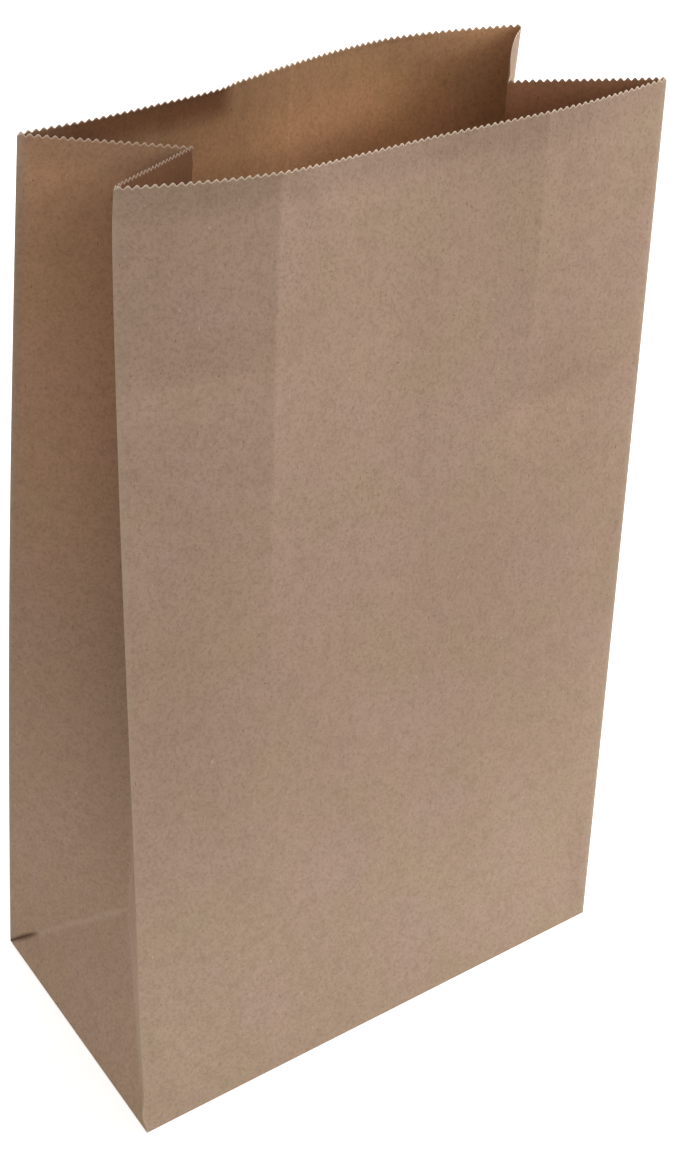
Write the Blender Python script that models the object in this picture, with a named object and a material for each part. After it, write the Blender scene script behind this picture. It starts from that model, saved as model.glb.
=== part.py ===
"""A brown kraft paper lunch bag, standing open and empty.

One tube of kraft paper is folded flat with a gusset in each narrow side, lapped and
glued down its back, cut at the mouth with a toothed knife and folded over and glued
at the foot. It is one piece of paper, so it is one object. Lengths are in metres and
angles in degrees. +Z is up, -Y is the front panel, and the origin is on the
underside at the middle of the foot.
"""

import math

import bmesh
import bpy
import numpy as np

# The folded sheet
WIDTH = 0.200             # front and back panels, from corner fold to corner fold
DEPTH = 0.110             # gusseted sides, from corner fold to corner fold
HEIGHT = 0.328            # from the foot's folds to the tooth tips, along the paper
PAPER = 0.00015           # thickness of one layer of kraft paper
TOOTH_PITCH = 0.0025      # from one tooth tip of the mouth's cut edge to the next
TOOTH_DEPTH = 0.0010      # from tooth tip to tooth root
SEAM_LAP = 0.012          # overlap of the glued seam down the back panel
FLAP_LAP = 0.020          # overlap of the two long flaps under the foot

# How the bag stands open
MOUTH_PULL = 0.003        # the bulging panels make the mouth this much shorter than WIDTH
MOUTH_SHIFT_X = 0.026     # the mouth's middle stands this far to the right of the foot's
MOUTH_SHIFT_Y = 0.019     # and this far towards the back
END_SKEW = {"left": 14.0, "right": 13.0}      # turn of the mouth's ends, seen from above
LEAF_ANGLE = {"left": 22.0, "right": 33.5}    # half the angle between a gusset's leaves
TUCK_TILT = {"left": 27.0, "right": 18.0}     # inward lean of the triangle at its foot
FRONT_BOW = 0.004         # outward bulge of the front panel at the mouth: a half wave
FRONT_WAVE = 0.002        # with a full wave, which adds to it on the left
FRONT_RIPPLE = 0.002      # and three half waves
BACK_BOW = 0.008          # the same three for the back panel
BACK_WAVE = -0.006
BACK_RIPPLE = 0.001
FRONT_DIP = 0.003         # how much lower the front edge lies halfway along
EDGE_BOW_LEFT = 0.0015    # outward bow of the corner folds
EDGE_BOW_RIGHT = 0.0003

# How finely the sheet is divided
PANEL_CELLS = 16          # across a wide panel
LEAF_CELLS = 4            # across half a gusset, and up to the point of its triangle
UPPER_CELLS = 13          # from there to the teeth
TOOTH_BAND = 0.0027       # height of the plain band between the divisions and the roots

TUCK_HEIGHT = DEPTH / 2        # the foot's slanting folds run at 45 degrees on the sheet
FOOT_LEVEL = 2.0 * PAPER       # the two long flaps lie under the foot's own layer
SEAM_STEP = 2.0 * PAPER        # width of the slope at each free edge of the seam
FLAP_INSET = 4.0 * PAPER       # the flaps' folds stay this far inside the foot's outline
SIDE_SIGN = {"left": -1, "right": 1}

KRAFT_COLOUR = (0.37, 0.26, 0.18, 1.0)
KRAFT_ROUGHNESS = 0.88


def turned(direction, degrees):
    """A plan direction turned counterclockwise, seen from above."""
    angle = math.radians(degrees)
    return np.array((
        direction[0] * math.cos(angle) - direction[1] * math.sin(angle),
        direction[0] * math.sin(angle) + direction[1] * math.cos(angle),
    ))


def raised(plan_point, foot, length):
    """The point above a plan point that is the given length of paper away from foot."""
    run = plan_point - foot[:2]
    rise = math.sqrt(length * length - float(run @ run))
    return np.array((plan_point[0], plan_point[1], foot[2] + rise))


def side_folds(side):
    """The ends of the folds on one narrow side.

    The corner folds run from the foot's corners to the mouth's. The gusset's middle
    fold runs from the tuck, the point of the triangle at its foot, to the mouth.
    """
    sign = SIDE_SIGN[side]
    foot_back = np.array((sign * WIDTH / 2, DEPTH / 2, FOOT_LEVEL))
    foot_front = np.array((sign * WIDTH / 2, -DEPTH / 2, FOOT_LEVEL))
    tilt = math.radians(TUCK_TILT[side])
    tuck = np.array((
        sign * (WIDTH / 2 - TUCK_HEIGHT * math.sin(tilt)),
        0.0,
        FOOT_LEVEL + TUCK_HEIGHT * math.cos(tilt),
    ))
    half_span = (WIDTH - MOUTH_PULL) / 2
    middle = np.array((MOUTH_SHIFT_X + sign * half_span, MOUTH_SHIFT_Y))
    backward = turned((0.0, 1.0), END_SKEW[side])
    inward = turned(backward, 90.0 * sign)
    leaf_angle = math.radians(LEAF_ANGLE[side])
    half_gap = DEPTH / 2 * math.sin(leaf_angle)
    crease = middle + inward * DEPTH / 2 * math.cos(leaf_angle)
    return {
        "foot_back": foot_back,
        "foot_front": foot_front,
        "tuck": tuck,
        "mouth_back": raised(middle + backward * half_gap, foot_back, HEIGHT),
        "mouth_front": raised(middle - backward * half_gap, foot_front, HEIGHT),
        "mouth_crease": raised(crease, tuck, HEIGHT - TUCK_HEIGHT),
    }


FOLDS = {side: side_folds(side) for side in SIDE_SIGN}


def between(start, end, share):
    return start + (end - start) * share


def corner(side, face, height):
    """The point of a corner fold at a height along the paper, slightly bowed outwards."""
    share = height / HEIGHT
    point = between(FOLDS[side]["foot_" + face], FOLDS[side]["mouth_" + face], share)
    bow = EDGE_BOW_LEFT if side == "left" else EDGE_BOW_RIGHT
    point[0] += SIDE_SIGN[side] * bow * math.sin(math.pi * share)
    return point


def half_waves(heights, shares):
    """The sum of one, two and three half waves across a panel, each with its height."""
    return sum(h * np.sin((k + 1) * math.pi * shares) for k, h in enumerate(heights))


def seam_edges():
    """Shares across the back panel of the seam's two free edges, with their slopes."""
    half = SEAM_LAP / 2 / WIDTH
    step = SEAM_STEP / WIDTH
    return (0.5 - half - step, 0.5 - half, 0.5 + half, 0.5 + half + step)


def seam_lift(shares):
    """How far the seam lifts the outer face: at once at one edge, easing off past the other."""
    before, start, _, after = seam_edges()
    eased = after + 1.0 / PANEL_CELLS
    return np.interp(shares, (before, start, after, eased), (0.0, PAPER, PAPER, 0.0))


def panel_points(face, height, shares):
    """Points across the front or back panel, from left to right.

    They lie on the straight line between the corner folds, pushed outwards by a bulge
    that is full at the mouth and fades to nothing at the flat foot.
    """
    points = between(corner("left", face, height), corner("right", face, height),
                     shares[:, None])
    fade = (height / HEIGHT) ** 1.5
    if face == "front":
        points[:, 1] -= fade * half_waves((FRONT_BOW, FRONT_WAVE, FRONT_RIPPLE), shares)
        points[:, 2] -= fade * FRONT_DIP * np.sin(math.pi * shares)
    else:
        points[:, 1] += fade * half_waves((BACK_BOW, BACK_WAVE, BACK_RIPPLE), shares)
        points[:, 1] += seam_lift(shares)
    return points


def gusset_points(side, height, shares):
    """Points across a gusset, from the back corner fold to the front one.

    Above the tuck the paper runs straight to the middle fold and out again. Below it,
    slanting folds from the foot's corners to the tuck bound a flat triangle.
    """
    folds = FOLDS[side]
    back = corner(side, "back", height)
    front = corner(side, "front", height)
    if height >= TUCK_HEIGHT:
        share = (height - TUCK_HEIGHT) / (HEIGHT - TUCK_HEIGHT)
        crease = between(folds["tuck"], folds["mouth_crease"], share)
        places = (0.0, 0.5, 1.0)
        points = np.array((back, crease, front))
    else:
        share = height / TUCK_HEIGHT
        slant_back = between(folds["foot_back"], folds["tuck"], share)
        slant_front = between(folds["foot_front"], folds["tuck"], share)
        places = (0.0, share / 2, 1.0 - share / 2, 1.0)
        points = np.array((back, slant_back, slant_front, front))
    return np.stack([np.interp(shares, places, points[:, axis]) for axis in range(3)], axis=1)


def coarse_spacing():
    """Where the wall's columns stand: shares across each panel, with the seam's edges."""
    panel = np.linspace(0.0, 1.0, PANEL_CELLS + 1)
    edges = seam_edges()
    clear_of_seam = np.abs(panel - 0.5) > edges[3] - 0.5
    return {
        "front": panel,
        "back": np.sort(np.concatenate((panel[clear_of_seam], edges))),
        "gusset": np.linspace(0.0, 1.0, 2 * LEAF_CELLS + 1),
    }


def tooth_spacing():
    """Where the tooth roots and tips stand, in turn, with a root at each fold."""
    panel = np.linspace(0.0, 1.0, 2 * round(WIDTH / TOOTH_PITCH) + 1)
    return {
        "front": panel,
        "back": panel,
        "gusset": np.linspace(0.0, 1.0, 4 * round(DEPTH / 2 / TOOTH_PITCH) + 1),
    }


def ring(height, spacing):
    """The closed row of points round the bag at one height, counterclockwise from above."""
    parts = (
        panel_points("front", height, spacing["front"]),
        gusset_points("right", height, 1.0 - spacing["gusset"]),
        panel_points("back", height, 1.0 - spacing["back"]),
        gusset_points("left", height, spacing["gusset"]),
    )
    return np.concatenate([part[:-1] for part in parts])


def tooth_ring():
    """The zigzag of the cut mouth: roots and tips in turn."""
    spacing = tooth_spacing()
    points = ring(HEIGHT - TOOTH_DEPTH, spacing)
    points[1::2] = ring(HEIGHT, spacing)[1::2]
    return points


def way_round(spacing):
    """How far round the bag a ring's points lie, each side counting one, with the return."""
    return np.concatenate((
        spacing["front"][:-1],
        1.0 + spacing["gusset"][:-1],
        2.0 + spacing["back"][:-1],
        3.0 + spacing["gusset"],
    ))


def layer_weights(spacing):
    """Weight of each point of a ring: 1 where the seam has two layers, else a half."""
    start, end = seam_edges()[1:3]
    sides = way_round(spacing)[:-1] - 2.0
    lapped = (1.0 - sides > start - 1e-6) & (1.0 - sides < end + 1e-6)
    return np.where(lapped, 1.0, 0.5)


def bridge(mesh, lower, upper, lower_way, upper_way):
    """Joins two rings of different counts with triangles, going round both in step."""
    low = 0
    high = 0
    while low < len(lower) or high < len(upper):
        here = lower[low % len(lower)]
        above = upper[high % len(upper)]
        low_is_done = low == len(lower)
        if low_is_done or (high < len(upper) and upper_way[high + 1] <= lower_way[low + 1]):
            high += 1
            mesh.faces.new((here, upper[high % len(upper)], above))
        else:
            low += 1
            mesh.faces.new((here, lower[low % len(lower)], above))


def add_ring(mesh, points, weights):
    """Adds a ring's points, each with its weight in the layers group."""
    deform = mesh.verts.layers.deform.verify()
    verts = []
    for point, weight in zip(points, weights):
        vert = mesh.verts.new(point)
        vert[deform][0] = weight
        verts.append(vert)
    return verts


def outer_face():
    """The sheet's outer face: the foot, the rows up the wall and the toothed band."""
    mesh = bmesh.new()
    coarse = coarse_spacing()
    lower = np.linspace(0.0, TUCK_HEIGHT, LEAF_CELLS + 1)
    upper = np.linspace(TUCK_HEIGHT, HEIGHT - TOOTH_DEPTH - TOOTH_BAND, UPPER_CELLS + 1)
    weights = layer_weights(coarse)
    heights = np.concatenate((lower, upper[1:]))
    rows = [add_ring(mesh, ring(height, coarse), weights) for height in heights]
    for below, above in zip(rows, rows[1:]):
        for i in range(len(below)):
            j = (i + 1) % len(below)
            mesh.faces.new((below[i], below[j], above[j], above[i]))
    fine = tooth_spacing()
    teeth = add_ring(mesh, tooth_ring(), layer_weights(fine))
    bridge(mesh, rows[-1], teeth, way_round(coarse), way_round(fine))
    mesh.faces.new(list(reversed(rows[0])))
    return mesh


def add_object(name, mesh):
    data = bpy.data.meshes.new(name)
    mesh.to_mesh(data)
    mesh.free()
    obj = bpy.data.objects.new(name, data)
    bpy.context.scene.collection.objects.link(obj)
    return obj


def long_flap(name, sign, low, high):
    """A long flap of the foot: a plate with its ends cut back at 45 degrees.

    It reaches from the foot's fold past the middle by half the lap. sign is -1 for the
    front flap and 1 for the back one.
    """
    reach = DEPTH / 2 + FLAP_LAP / 2
    half = WIDTH / 2 - FLAP_INSET
    fold = DEPTH / 2 - FLAP_INSET
    outline = [
        (-half, sign * fold),
        (half, sign * fold),
        (half - reach, sign * (fold - reach)),
        (reach - half, sign * (fold - reach)),
    ]
    if sign > 0:
        outline.reverse()
    mesh = bmesh.new()
    bottom = [mesh.verts.new((x, y, low)) for x, y in outline]
    top = [mesh.verts.new((x, y, high)) for x, y in outline]
    mesh.faces.new(list(reversed(bottom)))
    mesh.faces.new(top)
    for i in range(len(outline)):
        j = (i + 1) % len(outline)
        mesh.faces.new((bottom[i], bottom[j], top[j], top[i]))
    flap = add_object(name, mesh)
    flap.hide_render = True
    flap.display_type = "WIRE"
    return flap


def unite(obj, tool):
    modifier = obj.modifiers.new(tool.name, "BOOLEAN")
    modifier.operation = "UNION"
    modifier.solver = "EXACT"
    modifier.object = tool


def kraft_material():
    """Unbleached brown kraft paper, dull and slightly warm."""
    material = bpy.data.materials.new("kraft_paper")
    material.use_nodes = True
    shader = material.node_tree.nodes["Principled BSDF"]
    shader.inputs["Base Color"].default_value = KRAFT_COLOUR
    shader.inputs["Roughness"].default_value = KRAFT_ROUGHNESS
    shader.inputs["Metallic"].default_value = 0.0
    return material


def make_bag():
    """The sheet's outer face, given its thickness inwards and the two flaps of the foot."""
    bag = add_object("paper_bag", outer_face())
    bag.vertex_groups.new(name="layers")
    wall = bag.modifiers.new("wall", "SOLIDIFY")
    wall.thickness = 2.0 * PAPER
    wall.offset = -1.0
    wall.use_even_offset = True
    wall.vertex_group = "layers"
    unite(bag, long_flap("front_flap", -1.0, PAPER, FOOT_LEVEL + 0.5 * PAPER))
    unite(bag, long_flap("back_flap", 1.0, 0.0, FOOT_LEVEL + 0.3 * PAPER))
    bag.data.materials.append(kraft_material())
    bag.data.shade_smooth()
    bag.data.set_sharp_from_angle(angle=math.radians(20.0))


def main():
    for obj in list(bpy.data.objects):
        bpy.data.objects.remove(obj)
    make_bag()


main()
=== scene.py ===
"""The looks of a brown kraft paper lunch bag, standing open and empty.

The bag is one sheet of unbleached kraft paper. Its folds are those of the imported
solid, and this script gives the sheet its waves, creases, lips, teeth and glued laps,
its fibres and its pale cut edge. Lengths are in metres and angles in degrees.
"""

import math

import bpy
import numpy as np
from mathutils import Matrix, Vector


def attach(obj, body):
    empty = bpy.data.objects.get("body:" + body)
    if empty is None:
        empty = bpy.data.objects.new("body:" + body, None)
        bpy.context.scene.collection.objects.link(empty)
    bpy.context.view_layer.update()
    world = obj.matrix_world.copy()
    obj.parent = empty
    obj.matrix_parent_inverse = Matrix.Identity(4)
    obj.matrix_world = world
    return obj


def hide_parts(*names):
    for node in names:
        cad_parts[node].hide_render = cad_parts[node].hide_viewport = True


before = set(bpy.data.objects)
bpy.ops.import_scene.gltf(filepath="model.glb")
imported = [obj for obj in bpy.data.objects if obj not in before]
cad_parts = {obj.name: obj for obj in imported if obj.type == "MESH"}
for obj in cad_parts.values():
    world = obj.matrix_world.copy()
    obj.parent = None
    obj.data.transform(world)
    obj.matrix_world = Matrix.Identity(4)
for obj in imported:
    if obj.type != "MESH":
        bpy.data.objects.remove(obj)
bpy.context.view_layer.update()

# The folded sheet
WIDTH = 0.200             # front and back panels, from corner fold to corner fold
DEPTH = 0.110             # gusseted sides, from corner fold to corner fold
HEIGHT = 0.328            # from the foot's folds to the tooth tips, along the paper
PAPER = 0.00015           # thickness of one layer of kraft paper
TOOTH_PITCH = 0.0025      # from one tooth tip of the mouth's cut edge to the next
TOOTH_DEPTH = 0.0010      # from tooth tip to tooth root
SEAM_LAP = 0.012          # overlap of the glued seam down the back panel
FLAP_LAP = 0.020          # overlap of the two long flaps under the foot
TUCK_HEIGHT = DEPTH / 2
FOOT_LEVEL = 2.0 * PAPER
FLAP_INSET = 4.0 * PAPER
SIDE_SIGN = {"left": -1, "right": 1}

# How the bag stands open
MOUTH_PULL = 0.003        # the bulging panels make the mouth this much shorter than WIDTH
MOUTH_SHIFT_X = 0.026     # the mouth's middle stands this far to the right of the foot's
MOUTH_SHIFT_Y = 0.019     # and this far towards the back
END_SKEW = {"left": 14.0, "right": 13.0}      # turn of the mouth's ends, seen from above
LEAF_ANGLE = {"left": 22.0, "right": 33.5}    # half the angle between a gusset's leaves
TUCK_TILT = {"left": 27.0, "right": 18.0}     # inward lean of the triangle at its foot
EDGE_BOW = {"left": 0.0015, "right": 0.0003}  # outward bow of the corner folds
FRONT_WAVES = (0.004, 0.002, 0.002)           # outward bulge: one, two and three half waves
BACK_WAVES = (0.008, -0.006, 0.001)
BULGE_POWER = 1.5         # the bulges grow with height to this power
FRONT_DIP = 0.003         # how much lower the front edge lies halfway along

# The ring is the way round the mouth: front, right side, back and left side
SIDES = {
    "front": ("front", WIDTH),
    "right": ("right", DEPTH),
    "back": ("back", WIDTH),
    "left": ("left", DEPTH),
}
SIDE_START = {
    "front": 0.0,
    "right": WIDTH,
    "back": WIDTH + DEPTH,
    "left": 2 * WIDTH + DEPTH,
}
AROUND = 2 * (WIDTH + DEPTH)
MIDDLE_FOLDS = (SIDE_START["right"] + DEPTH / 2, SIDE_START["left"] + DEPTH / 2)
SEAM_MIDDLE = SIDE_START["back"] + WIDTH / 2

# How far the front left fold springs out towards the mouth, between two levels, and how
# fast that ends at the rim. Then its two swellings lower down: how far, where and how
# wide. Levels and widths are shares of HEIGHT.
EDGE_HOOK = 0.0011
EDGE_HOOK_LEVELS = (0.35, 0.95)
EDGE_HOOK_END = 0.020
EDGE_SWELLINGS = ((0.0013, 0.025, 0.014), (0.0007, 0.13, 0.09))

# The band under the teeth, and how far it curls outwards at places round the ring
LIP = 0.009
LIP_MARKS = (0.0, 0.03, 0.07, 0.12, 0.17, 0.20, 0.26, 0.31, 0.33, 0.41, 0.428, 0.436, 0.49,
             0.51, 0.565, 0.61, 0.62)
LIP_CURLS_MM = (0.4, 1.3, 0.8, 1.3, 0.7, 0.2, 0.4, 0.2, 0.5, 0.7, 0.3, -1.6, -1.3,
                0.1, 0.7, 0.4, 0.4)

# Where the folded gussets have marked the panels, from the left corner fold, and each
# mark's crest on the front: its height, its width on the left and on the right, and the
# levels between which it fades in
IMPRINT_LEFT = 0.050
IMPRINT_RIGHT = 0.150
FRONT_IMPRINTS = (
    (IMPRINT_LEFT, 0.0011, 0.014, 0.009, 0.140, 0.260),
    (IMPRINT_RIGHT, 0.0006, 0.012, 0.008, 0.210, 0.270),
)
BACK_IMPRINT = 0.0005
BACK_IMPRINT_WIDTH = 0.010
BACK_IMPRINT_LEVELS = (0.08, 0.30)
BACK_CREASE = 0.0006      # across the back, where the foot was folded flat against it
BACK_CREASE_WIDTH = 0.008

# The front panel's dents, where the stack was strapped: the level of each, its rise to
# the right, its place from the left fold and its reach on each side
DENTS = ((0.2685, 0.06, 0.020, 0.030), (0.2300, 0.05, 0.158, 0.022))
DENT_DEPTH = 0.0015
DENT_WIDTHS = (0.008, 0.014)  # below and above a dent's line
GLINT_RISE = 0.002        # how near its line a dent's painted light rises
GLINT_REACH = 0.013       # and how far from it

# A fan crease runs down to the right from this place at the mouth, and a soft crest
# stands right of the panel's middle
FAN_PLACE = 0.056
FAN_RUN = 0.62
FAN_HEIGHT = 0.0005
FAN_WIDTHS = (0.003, 0.010)
FAN_LEVELS = (0.285, 0.320)
CREST_PLACE = 0.112
CREST_LEVEL = 0.250
CREST_REACH = 0.045
CREST_HEIGHT = 0.0004
CREST_WIDTHS = (0.008, 0.014)

# Uneven waves: height, seed, how many, and their shortest and longest length
WAVES = {
    "front": ((0.00075, 11, 14, 0.035, 0.160), (0.00006, 12, 24, 0.009, 0.030)),
    "back": ((0.00040, 21, 14, 0.040, 0.160), (0.00006, 22, 24, 0.009, 0.030)),
    "left": ((0.00040, 31, 14, 0.040, 0.140), (0.00005, 32, 24, 0.009, 0.030)),
    "right": ((0.00040, 41, 14, 0.040, 0.140), (0.00005, 42, 24, 0.009, 0.030)),
    "foot": ((0.00025, 51, 12, 0.030, 0.090),),
}
LEAF_SAG = 0.0018         # of the right gusset's back leaf into the bag at the mouth
LEAF_SAG_PLACE = 0.027
LEAF_SAG_WIDTH = 0.022
LEAF_SAG_LEVELS = (0.26, 0.32)
PRESSED_WIDTH = 0.010     # a gusset is pressed flat this near its middle fold
FOOT_SWELL = 0.00035      # the foot's inner face is never quite flat
FOOT_CREASE = 0.0002
FOOT_CREASE_WIDTH = 0.004
FOOT_EDGE = 0.010         # the swell and the crease fade out this near the foot's folds
TUCKED_EDGE = (-0.0001, 0.0012)  # where the step up onto a tucked end starts and ends
TUCKED_START = 0.002      # a tucked end rises over this length from its own fold

# Paper springs out beside a pressed fold: how far, from how near, and up to where
SPRING = 0.0002
SPRING_ROOT = 0.0007
SPRING_REACH = 0.020
SPRING_LEVEL = 0.02       # the spring grows up to this height
FLAT_MARGIN = 0.012       # waves and creases fade out this near a corner fold or the foot
LIP_MARGIN = 0.006        # and the lip's curl this near a corner fold
SEAM_EASE = 0.010         # the seam's lift eases off this far past its hidden edge

# The pinched slit at the back left corner of the foot
PINCH_DEPTH = 0.0020
PINCH_LENGTH = 0.014
PINCH_WIDTH = 0.0008
SLIT_NARROWNESS = 0.55    # how wide the painted shadow line is, as a share of the groove

# The two long flaps are sunk this far into the paper above them, to become one with it
FRONT_FLAP_BITE = 0.5 * PAPER
BACK_FLAP_BITE = 0.3 * PAPER
SHARP_ANGLE = 50.0        # edges bent more than this aren't shaded smooth

# How finely the sheet is divided, in units of a sixth of a tooth
UNIT = TOOTH_PITCH / 6
CELL = 6
PANEL_UNITS = 480
GUSSET_UNITS = 264
FOLD_MARKS = (1, 2)
PINCH_UNITS = 30          # a gusset's grid is finer this far from its corner folds
ROW_HEIGHT = 0.0033
TOOTH_BAND = 0.0016       # height of the plain band between the grid and the tooth roots
BAND_START = HEIGHT - TOOTH_DEPTH - TOOTH_BAND
BAND_ROWS = (0.0, 0.55, 0.86, 1.0)
CUT_SHARES = (0.75, 0.98)  # where in the band the cut edge's pale colour starts and is full
TOOTH_FULLNESS = 0.8      # below 1, the teeth are rounder and their roots narrower


def turned(direction, degrees):
    """A plan direction turned counterclockwise, seen from above."""
    angle = math.radians(degrees)
    return np.array((
        direction[0] * math.cos(angle) - direction[1] * math.sin(angle),
        direction[0] * math.sin(angle) + direction[1] * math.cos(angle),
    ))


def raised(plan_point, foot, length):
    """The point above a plan point that is the given length of paper away from foot."""
    run = plan_point - foot[:2]
    return np.array((*plan_point, foot[2] + math.sqrt(length * length - float(run @ run))))


def side_folds(side):
    """The ends of the folds on one narrow side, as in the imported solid."""
    sign = SIDE_SIGN[side]
    foot_back = np.array((sign * WIDTH / 2, DEPTH / 2, FOOT_LEVEL))
    foot_front = np.array((sign * WIDTH / 2, -DEPTH / 2, FOOT_LEVEL))
    tilt = math.radians(TUCK_TILT[side])
    tuck = np.array((
        sign * (WIDTH / 2 - TUCK_HEIGHT * math.sin(tilt)),
        0.0,
        FOOT_LEVEL + TUCK_HEIGHT * math.cos(tilt),
    ))
    middle = np.array((MOUTH_SHIFT_X + sign * (WIDTH - MOUTH_PULL) / 2, MOUTH_SHIFT_Y))
    backward = turned((0.0, 1.0), END_SKEW[side])
    inward = turned(backward, 90.0 * sign)
    leaf_angle = math.radians(LEAF_ANGLE[side])
    half_gap = DEPTH / 2 * math.sin(leaf_angle)
    crease = middle + inward * DEPTH / 2 * math.cos(leaf_angle)
    return {
        "foot_back": foot_back,
        "foot_front": foot_front,
        "tuck": tuck,
        "mouth_back": raised(middle + backward * half_gap, foot_back, HEIGHT),
        "mouth_front": raised(middle - backward * half_gap, foot_front, HEIGHT),
        "mouth_crease": raised(crease, tuck, HEIGHT - TUCK_HEIGHT),
    }


FOLDS = {side: side_folds(side) for side in SIDE_SIGN}


def between(start, end, share):
    """Points on the straight line from start to end, at shares of the way."""
    return start + (end - start) * share[..., None]


def bell(x, middle, width):
    """A smooth hump: 1 at middle, and 1/e at width from it."""
    return np.exp(-((x - middle) / width) ** 2)


def ridge(x, middle, width, width_after=None):
    """A sharp crest at middle that falls away on each side at its own width."""
    widths = np.where(x < middle, width, width_after or width)
    return np.exp(-np.abs(x - middle) / widths)


def smooth_step(x, start, end):
    """0 before start and 1 after end, with 3 s^2 - 2 s^3 between them."""
    share = np.clip((x - start) / (end - start), 0.0, 1.0)
    return share * share * (3.0 - 2.0 * share)


def corner(side, face, height):
    """Points of a corner fold, bowed outwards by half a sine wave.

    The front left fold also springs out under the mouth, above the foot and between.
    """
    share = height / HEIGHT
    points = between(FOLDS[side]["foot_" + face], FOLDS[side]["mouth_" + face], share)
    bow = EDGE_BOW[side] * np.sin(math.pi * share)
    if side == "left" and face == "front":
        under_mouth = 1.0 - np.exp(-np.clip(1.0 - share, 0.0, None) / EDGE_HOOK_END)
        bow = bow + EDGE_HOOK * under_mouth * smooth_step(share, *EDGE_HOOK_LEVELS)
        for size, level, width in EDGE_SWELLINGS:
            bow = bow + size * bell(share, level, width)
    points[..., 0] += SIDE_SIGN[side] * bow
    return points


def half_waves(heights, shares):
    """The sum of one, two and three half waves across a panel, each with its height."""
    return sum(h * np.sin((k + 1) * math.pi * shares) for k, h in enumerate(heights))


def panel_form(face, across, height):
    """The front or back panel: straight between its corner folds, then bulged outwards.

    The bulge is the sum of three half waves and grows with height.
    across is the share of the way from the left fold to the right one.
    """
    left = corner("left", face, height)
    right = corner("right", face, height)
    points = between(left, right, across)
    fade = np.clip(height / HEIGHT, 0.0, None) ** BULGE_POWER
    if face == "front":
        points[..., 1] -= fade * half_waves(FRONT_WAVES, across)
        points[..., 2] -= fade * FRONT_DIP * np.sin(math.pi * across)
    else:
        points[..., 1] += fade * half_waves(BACK_WAVES, across)
    return points


def gusset_form(side, across, height):
    """A gusset: two flat leaves that meet at the middle fold, and a triangle at the foot.

    across is the share of the way from the back fold to the front one. A leaf runs
    straight from its corner fold to the middle fold, or below the tuck to the slanting
    fold, which lies as far from the corner fold as it is high. The rest is the triangle.
    """
    folds = FOLDS[side]
    away = DEPTH * np.minimum(across, 1.0 - across)
    low = np.clip(height / TUCK_HEIGHT, 0.0, 1.0)
    high = (height - TUCK_HEIGHT) / (HEIGHT - TUCK_HEIGHT)
    crease = between(folds["tuck"], folds["mouth_crease"], high)
    is_high = (height >= TUCK_HEIGHT)[..., None]
    ends = {}
    leaves = {}
    reach = np.maximum(low * TUCK_HEIGHT, 1e-9)
    for face in ("back", "front"):
        slant = between(folds["foot_" + face], folds["tuck"], low)
        ends[face] = np.where(is_high, crease, slant)
        leaves[face] = between(corner(side, face, height), ends[face], away / reach)
    leaf = np.where((across <= 0.5)[..., None], leaves["back"], leaves["front"])
    span = np.maximum(1.0 - low, 1e-9)
    triangle = between(ends["back"], ends["front"], (across - low / 2) / span)
    return np.where((away <= low * TUCK_HEIGHT + 1e-9)[..., None], leaf, triangle)


def waves(u, h, seed, count, shortest, longest):
    """Uneven waves: plane sine waves of seeded directions, lengths and phases."""
    random = np.random.default_rng(seed)
    total = np.zeros(np.broadcast(u, h).shape)
    for _ in range(count):
        length = shortest * (longest / shortest) ** random.random()
        angle = random.uniform(0.0, math.pi)
        phase = random.uniform(0.0, 2.0 * math.pi)
        along = u * math.cos(angle) + h * math.sin(angle)
        total = total + np.sin(2.0 * math.pi * along / length + phase) * length / longest
    return total / math.sqrt(count)


def fold_spring(u, width):
    """The bulge beside the pressed folds at u = 0 and u = width.

    It rises at once from each fold and dies away over SPRING_REACH.
    """
    near = np.minimum(u, width - u)
    return SPRING * (1.0 - np.exp(-near / SPRING_ROOT)) * np.exp(-near / SPRING_REACH)


def uneven(part, u, h):
    """The sum of a part's uneven waves, each with its height."""
    return sum(size * waves(u, h, *kind) for size, *kind in WAVES[part])


def clear_of_folds(u, width, height):
    """1 in the open panel, and 0 at the corner folds and the foot."""
    near = np.minimum(np.minimum(u, width - u), height)
    return smooth_step(near, 0.0, FLAT_MARGIN)


def dent_light(u, h):
    """Painted light and shade at the strap's dents: paler below their lines, duller above.

    Each side rises from nothing at the line and dies away as an exponential.
    """
    total = 0.0
    for level, slope, place, reach in DENTS:
        above = h - level - slope * (u - place)
        away = np.abs(above)
        near = np.exp(-away / GLINT_REACH) * (1.0 - np.exp(-away / GLINT_RISE))
        light = np.where(above < 0.0, DENT_GLINT, -DENT_SHADE)
        total = total + light * near * bell(u, place, reach)
    return total


def front_relief(u, h):
    """Front panel: how far it stands out of its form.

    The sum of the crests where the folded gussets have marked it, the dents, the fan
    crease from the mouth, the soft crest and the uneven waves.
    """
    out = uneven("front", u, h)
    for place, crest, before, after, low, high in FRONT_IMPRINTS:
        out += crest * smooth_step(h, low, high) * ridge(u, place, before, after)
    for level, slope, place, reach in DENTS:
        line = level + slope * (u - place)
        out -= DENT_DEPTH * ridge(h, line, *DENT_WIDTHS) * bell(u, place, reach)
    fan = u - FAN_PLACE - FAN_RUN * (HEIGHT - h)
    out += FAN_HEIGHT * ridge(fan, 0.0, *FAN_WIDTHS) * smooth_step(h, *FAN_LEVELS)
    soft_crest = CREST_HEIGHT * ridge(u, CREST_PLACE, *CREST_WIDTHS)
    out += soft_crest * bell(h, CREST_LEVEL, CREST_REACH)
    return out


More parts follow.
